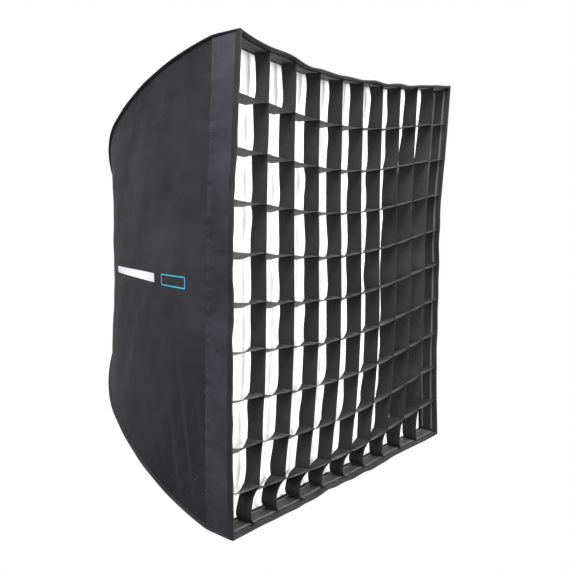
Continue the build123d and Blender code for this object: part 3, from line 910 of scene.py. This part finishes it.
def closing(k, z):
    # how far an upright's back edge leans over and narrows the cell
    down = (1 - z / innerHalf) / 2
    late = np.clip((k - 6.3) / 1.7, 0, 1) * np.clip((down - 0.12) / 0.15, 0, 1)
    late = late * np.clip((1 - down) * 8, 0, 1)
    middle = np.clip((k - 4) / 2, 0, 1) * np.exp(-((down - 0.52) / 0.10) ** 2)
    return 0.014 * late + 0.007 * middle


def stripPoints(upright, k, alongCount=12, acrossCount=7):
    # points of one strip's middle surface, as rows along it and columns from front to back
    draw = random.Random(1000 * upright + k)
    pitch = 2 * innerHalf / gridSet["cells"]
    fixed = (k - gridSet["cells"] / 2) * pitch
    rows = []
    for cell in range(gridSet["cells"]):
        bow, twist = draw.uniform(-1, 1), draw.uniform(-1, 1)
        last = alongCount + (cell == gridSet["cells"] - 1)
        for step in range(last):
            t = step / alongCount
            low, high = -innerHalf + cell * pitch, -innerHalf + (cell + 1) * pitch
            hump = 1 - abs(2 * t - 1) ** 3.4
            wave = math.sin(2 * math.pi * t)
            row = []
            for c in range(acrossCount):
                v = c / (acrossCount - 1)
                if upright:
                    (xa, za), (xb, zb) = gridNode(fixed, low), gridNode(fixed, high)
                    x, z = xa + (xb - xa) * t, za + (zb - za) * t
                    squeeze = max(0.0, 1 - (zb - za) / pitch)
                    side = gridSet["bow"] * bow * hump * (0.4 + 0.6 * v)
                    side = side + gridSet["twist"] * twist * wave * v
                    side += hump * v * (0.0065 if cell == gridSet["cells"] - 1 else 0.0015)
                    side -= hump * (0.055 * squeeze + 0.006 * (cell == 0))
                    x += side - v * float(closing(k, z))
                else:
                    (xa, za), (xb, zb) = gridNode(low, fixed), gridNode(high, fixed)
                    x, z = xa + (xb - xa) * t, za + (zb - za) * t
                    lower = 0.28 + 0.72 * (0.5 - fixed / (2 * innerHalf))
                    z -= hump * gridSet["levelSag"] * lower * (0.15 + 0.85 * v ** 1.2) * (1 + 0.25 * bow)
                    z += 0.0012 * twist * wave * v
                row.append((float(x), rimY + gridSet["front"] + gridSet["depth"] * v, float(z)))
            rows.append(row)
    return np.array(rows)


def stripMesh(points, thick):
    # a thin closed strip round its middle surface
    along = np.gradient(points, axis=0)
    across = np.gradient(points, axis=1)
    normal = np.cross(along, across)
    normal /= np.linalg.norm(normal, axis=2, keepdims=True)
    rows, cols = points.shape[:2]
    total = rows * cols
    verts = np.concatenate(
        [(points + normal * thick / 2).reshape(-1, 3), (points - normal * thick / 2).reshape(-1, 3)]
    )
    index = np.arange(total).reshape(rows, cols)
    quad = np.stack([index[:-1, :-1], index[1:, :-1], index[1:, 1:], index[:-1, 1:]], -1).reshape(-1, 4)
    loop = np.concatenate([index[:-1, 0], index[-1, :-1], index[:0:-1, -1], index[0, :0:-1]])
    rim = np.stack([loop, np.roll(loop, -1), np.roll(loop, -1) + total, loop + total], -1)
    length = np.concatenate([[0], np.cumsum(np.linalg.norm(np.diff(points[:, 0], axis=0), axis=1))])
    uv = np.stack(
        np.meshgrid(length, np.linspace(0, gridSet["depth"], cols), indexing="ij"), -1
    ).reshape(-1, 2)
    return verts, np.concatenate([quad, quad[:, ::-1] + total, rim[:, ::-1]]), np.concatenate([uv, uv])


def sortEighth(x, z):
    # which eighth of the front a point is in
    side = ("left" if x < 0 else "right") if abs(x) > abs(z) else ("bottom" if z < 0 else "top")
    end = (1 if z > 0 else -1) if side in ("left", "right") else (1 if x > 0 else -1)
    return side, end


def cutIntoEighths(whole, name):
    # cut along the upright, the level and both diagonals into eighths
    bm = bmesh.new()
    bm.from_mesh(whole.data)
    for normal in ((1, 0, 0), (0, 0, 1), (1, 0, 1), (1, 0, -1)):
        everything = bm.verts[:] + bm.edges[:] + bm.faces[:]
        bmesh.ops.bisect_plane(bm, geom=everything, plane_co=(0, 0, 0), plane_no=normal, dist=1e-6)
    whole.data.name = "spent"
    pieces = []
    for side, end, label in eighths():
        part = bm.copy()
        gone = []
        for face in part.faces:
            middle = face.calc_center_median()
            if sortEighth(middle.x, middle.z) != (side, end):
                gone.append(face)
        bmesh.ops.delete(part, geom=gone, context="FACES")
        bmesh.ops.holes_fill(part, edges=[e for e in part.edges if e.is_boundary], sides=0)
        mesh = bpy.data.meshes.new(name + "_" + label)
        part.to_mesh(mesh)
        part.free()
        for material in whole.data.materials:
            mesh.materials.append(material)
        piece = bpy.data.objects.new(name + "_" + label, mesh)
        bpy.context.scene.collection.objects.link(piece)
        pieces.append((side, end, label, piece))
    bm.free()
    bpy.data.objects.remove(whole)
    return pieces


def makeGrid():
    for upright, nodeName in ((1, "grid_strips_upright"), (0, "grid_strips_level")):
        verts, faces, uvs, count = [], [], [], 0
        for k in range(1, gridSet["cells"]):
            v, f, uv = stripMesh(stripPoints(upright, k), gridSet["thick"])
            verts.append(v)
            faces.append(f + count)
            uvs.append(uv + np.array([0.37 * k, 0.11 * k + upright]))
            count += len(v)
        name = "gridUpright" if upright else "gridLevel"
        whole = asObject(
            name, np.concatenate(verts), np.concatenate(faces), [cloths["gridCloth"]], None,
            np.concatenate(uvs)
        )
        for side, end, label, piece in cutIntoEighths(whole, name):
            piece.data.set_sharp_from_angle(angle=math.radians(50))
            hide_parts(nodeName)
            foldWithRib(piece, side, end)


makeGrid()
print("grid made")

# ---- stitches, tip pockets, zip and printed bars

stitchSet = {
    # name: front and back from the rim, depth inside the lip's skin, facing in, zigzag width, pitch,
    # thread, slot
    "seamStitch": (0.0540, 0.0573, -0.0007, False, 0.0, 0.0040, "darkThread", "lip_cloth"),
    "seamBesideStitch": (0.0500, 0.0573, -0.0007, False, 0.0, 0.0040, "darkThread", "lip_cloth"),
    "frontZigzag": (0.0095, 0.0573, 0.0048, True, 0.0042, 0.0023, "paleThread", "grid_cloth"),
    "backZigzag": (0.0315, 0.0573, 0.0048, True, 0.0036, 0.0023, "paleThread", "grid_cloth"),
}


def stitchBoxes(starts, ends, normal, across, width, high):
    # short raised threads between pairs of points
    verts, faces = [], []
    for k, (a, b) in enumerate(zip(starts, ends)):
        base = len(verts)
        up, side = normal[k] * high, across[k] * width / 2
        for share, lift in ((0.0, -0.4), (0.25, 0.8), (0.75, 0.8), (1.0, -0.4)):
            spot = a + (b - a) * share + up * lift
            verts += [spot - side, spot + up * 0.45, spot + side]
        for ring in range(3):
            at = base + ring * 3
            for j in (0, 1):
                faces.append((at + j, at + j + 1, at + j + 4, at + j + 3))
            faces.append((at + 2, at, at + 3, at + 5))
        faces += [(base, base + 2, base + 1), (base + 9, base + 10, base + 11)]
    return np.array(verts), faces


def stitchRow(
    name, side, end, place, share, swing, pitch, thread, inward, span=(0.012, 0.985),
    width=0.0009, high=0.00035
):
    length = rimHalf * (span[1] - span[0])
    count = int(length / pitch)
    u = end * np.linspace(span[0], span[1], count + 1)
    if swing:
        rows = share + swing * (np.arange(count + 1) % 2 - 0.5)
        first, last = place(rows[:-1], u[:-1]), place(rows[1:], u[1:])
    else:
        rows = np.full(count + 1, float(share))
        points = place(rows, u)
        first, last = points[:-1], points[:-1] + (points[1:] - points[:-1]) * 0.68
    step = 1e-3
    run = place(rows + step, u) - place(rows - step, u)
    slide = place(rows, u + step) - place(rows, u - step)
    normal = np.cross(run, slide)
    normal /= np.linalg.norm(normal, axis=1, keepdims=True)
    outward = np.array([sides[side][0][0], 0, sides[side][0][1]]) * (-1 if inward else 1)
    normal *= np.sign(normal @ outward)[:, None]
    across = np.cross(last - first, normal[:-1])
    across /= np.linalg.norm(across, axis=1, keepdims=True)
    verts, faces = stitchBoxes(first, last, normal[:-1], across, width, high)
    piece = asObject(name, verts, faces, [thread])
    foldWithRib(piece, side, end)
    return piece


def makeStitches():
    threads = {"paleThread": paleThread, "darkThread": darkThread}
    for name, (front, back, inset, inward, swing, pitch, thread, slotName) in stitchSet.items():
        for side, end, label in eighths():
            place = lipPoint(side, front, back, inset)
            share = swing / 2 / (back - front)
            stitchRow(
                name + "_" + label, side, end, place, share, swing / (back - front), pitch,
                threads[thread], inward, width=0.0012
            )
    for side, end, label in eighths():
        stitchRow(
            "rimStitch_" + label, side, end, bindingPoint(side), 0.93, 0.0, 0.0034, darkThread,
            True, width=0.0007
        )


pocketSet = {"length": 0.046, "width": 0.016, "drop": 0.0115, "puff": 0.0032, "rows": 30, "cols": 22}


def makeTipPockets():
    # folded tape pockets that hold the ribs' tips, drawn flat round the rib with a puckered mouth
    heading = math.radians(shellSet["bends"][-1][1])
    tip = np.array([seamHalf * math.sqrt(2), seamY])
    along = np.array([math.sin(heading), -math.cos(heading)])
    inward = np.array([-math.cos(heading), -math.sin(heading)])
    for corner, (cx, cz) in {
        "top_left": (-1, 1), "top_right": (1, 1), "bottom_left": (-1, -1), "bottom_right": (1, -1)
    }.items():
        rows, cols = pocketSet["rows"], pocketSet["cols"]
        draw = random.Random(cx * 3 + cz + 50)
        phase = draw.uniform(0, 6)
        verts = []
        for i in range(rows):
            share = i / (rows - 1)
            mouth = max(0.0, 1 - share * 3)
            closed = min(1.0, (1 - share) * 9) ** 0.5
            for j in range(cols):
                angle = 2 * math.pi * j / cols
                flat = math.copysign(abs(math.cos(angle)) ** 0.7, math.cos(angle)) * pocketSet["width"] / 2
                thick = math.sin(angle) * (0.0007 + 0.0011 * closed + 0.0006 * mouth)
                thick += 0.00025 * math.sin(share * 21 + angle * 2 + phase)
                depth = pocketSet["length"] * (share - 1) - 0.002 + 0.0006 * math.sin(
                    angle * 3 + phase
                ) * mouth
                spot = tip + along * depth + inward * (pocketSet["drop"] + thick)
                diagonal = np.array([cx, cz]) / math.sqrt(2)
                beside = np.array([-cz, cx]) / math.sqrt(2)
                x, z = diagonal * spot[0] + beside * flat * (0.94 + 0.06 * closed)
                verts.append((x, spot[1], z))
        faces = []
        for i in range(rows - 1):
            for j in range(cols):
                k = (j + 1) % cols
                faces.append((i * cols + j, i * cols + k, (i + 1) * cols + k, (i + 1) * cols + j))
        faces.append(tuple(range(cols))[::-1])
        faces.append(tuple(range((rows - 1) * cols, rows * cols)))
        uvs = [((j / cols) * 0.034, i / rows * 0.046) for i in range(rows) for j in range(cols)]
        pocket = asObject("tipPocket_" + corner, np.array(verts), faces, [cloths["bindingTape"]], None, uvs)
        pocket.data.set_sharp_from_angle(angle=math.radians(50))
        fixNormals(pocket)
        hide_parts("tip_pockets")
        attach(pocket, "rib_" + corner)


def fixNormals(piece):
    bm = bmesh.new()
    bm.from_mesh(piece.data)
    bmesh.ops.recalc_face_normals(bm, faces=bm.faces)
    bm.to_mesh(piece.data)
    bm.free()


zipSet = {"half": 0.140, "tape": 0.012, "teeth": 0.005, "pitch": 0.00165, "thick": 0.0006}


def zipFrame():
    tapeLow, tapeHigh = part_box("zip_tapes")
    centre = (tapeLow + tapeHigh) / 2
    slope = math.atan2((tapeHigh.z - tapeLow.z), (tapeHigh.y - tapeLow.y))
    return centre, slope


def zipPoint(along, across, lift):
    centre, slope = zipFrame()
    y = centre.y + across * math.cos(slope) + lift * math.sin(slope)
    z = centre.z + across * math.sin(slope) - lift * math.cos(slope)
    return np.stack([along, y, z], axis=-1)


def makeZip():
    # two tapes and a closed row of teeth, each in halves, left and right
    gap = zipSet["teeth"] / 2 + 0.00015
    for end, label in ((-1, "left"), (1, "right")):
        for part, sign in (("front", -1), ("back", 1)):
            def place(share, u, sign=sign):
                ripple = 0.00025 * waves(u * zipSet["half"], share * 0.01, 61 + sign, 0.03)
                return zipPoint(u * zipSet["half"], sign * (gap + zipSet["tape"] * share), 0.0002 + ripple)

            verts, faces, which, uvs = twoLayer(
                place, np.linspace(0, 1, 6), columns(end, zipSet["half"], 0.004), zipSet["thick"],
                (0, 0.3, -1)
            )
            uvs = uvs * np.array([zipSet["half"], zipSet["tape"]])
            tape = asObject(f"zipTape_{part}_{label}", verts, faces, [cloths["bindingTape"]] * 2, which, uvs)
            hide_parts("zip_tapes")
            foldWithRib(tape, "bottom", end)
        count = int(zipSet["half"] / zipSet["pitch"])
        verts, faces = [], []
        for k in range(count - 3):
            x = end * (k + 0.5) * zipSet["pitch"]
            reach = zipSet["teeth"] / 2
            offset = 0.0004 if k % 2 else -0.0004
            box = []
            for lift in (-0.0002, 0.0011):
                narrow = 0.00055 if lift < 0 else 0.0004
                for sx, sy in ((-1, -1), (1, -1), (1, 1), (-1, 1)):
                    box.append(
                        zipPoint(
                            np.float64(x + sx * narrow),
                            np.float64(sy * reach * (1 if lift < 0 else 0.8) + offset), np.float64(lift)
                        )
                    )
            base = len(verts)
            verts += box
            for f in ((0, 3, 2, 1), (4, 5, 6, 7), (0, 1, 5, 4), (1, 2, 6, 5), (2, 3, 7, 6), (3, 0, 4, 7)):
                faces.append(tuple(base + i for i in f))
        core = len(verts)
        for lift in (-0.0004, 0.0004):
            for x, y in ((0, -1), (1, -1), (1, 1), (0, 1)):
                verts.append(
                    zipPoint(
                        np.float64(end * x * (zipSet["half"] - 0.006)), np.float64(y * 0.0016),
                        np.float64(lift)
                    )
                )
        for f in ((0, 3, 2, 1), (4, 5, 6, 7), (0, 1, 5, 4), (1, 2, 6, 5), (2, 3, 7, 6), (3, 0, 4, 7)):
            faces.append(tuple(core + i for i in f))
        teeth = asObject("zipTeeth_" + label, np.array(verts), faces, [hards["zipPlastic"]])
        teeth.data.polygons.foreach_set("use_smooth", np.zeros(len(teeth.data.polygons), bool))
        fixNormals(teeth)
        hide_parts("zip_teeth")
        foldWithRib(teeth, "bottom", end)


def makeCatchSpring():
    # the catch's leaf spring, with a straight end and a raised end, copied from its node
    node = nodes["catch_spring"]
    spring = bpy.data.objects.new("catchLeaf", node.data.copy())
    spring.data.transform(node.matrix_world)
    spring.data.materials.clear()
    spring.data.materials.append(hards["platedSteel"])
    bpy.context.scene.collection.objects.link(spring)
    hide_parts("catch_spring")
    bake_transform(spring)


makeStitches()
makeTipPockets()
makeCatchSpring()
makeZip()
print("stitches, tip pockets and zip made")


# ---- hard parts keep their CAD shape and take these finishes

hardParts = {
    "sprungSteel": ["rib_rod"],
    "platedSteel": [
        "rib_eye", "rib_bracket", "bracket_pin", "stretcher", "hub_pins", "ferrule_washer", "stop_ring"
    ],
    "brightSteel": ["shaft", "catch_button"],
    "blackPlastic": ["rib_hub", "runner", "ferrule_cap", "shaft_plug", "rib_tip"],
    "zipMetal": ["zip_slider", "zip_pull"],
}


def finishHardParts():
    for finish, starts in hardParts.items():
        for name, node in nodes.items():
            stem = name
            for corner in ("_top_left", "_top_right", "_bottom_left", "_bottom_right"):
                stem = stem.replace(corner, "")
            if stem in starts:
                node.data.materials.clear()
                node.data.materials.append(hards[finish])


finishHardParts()
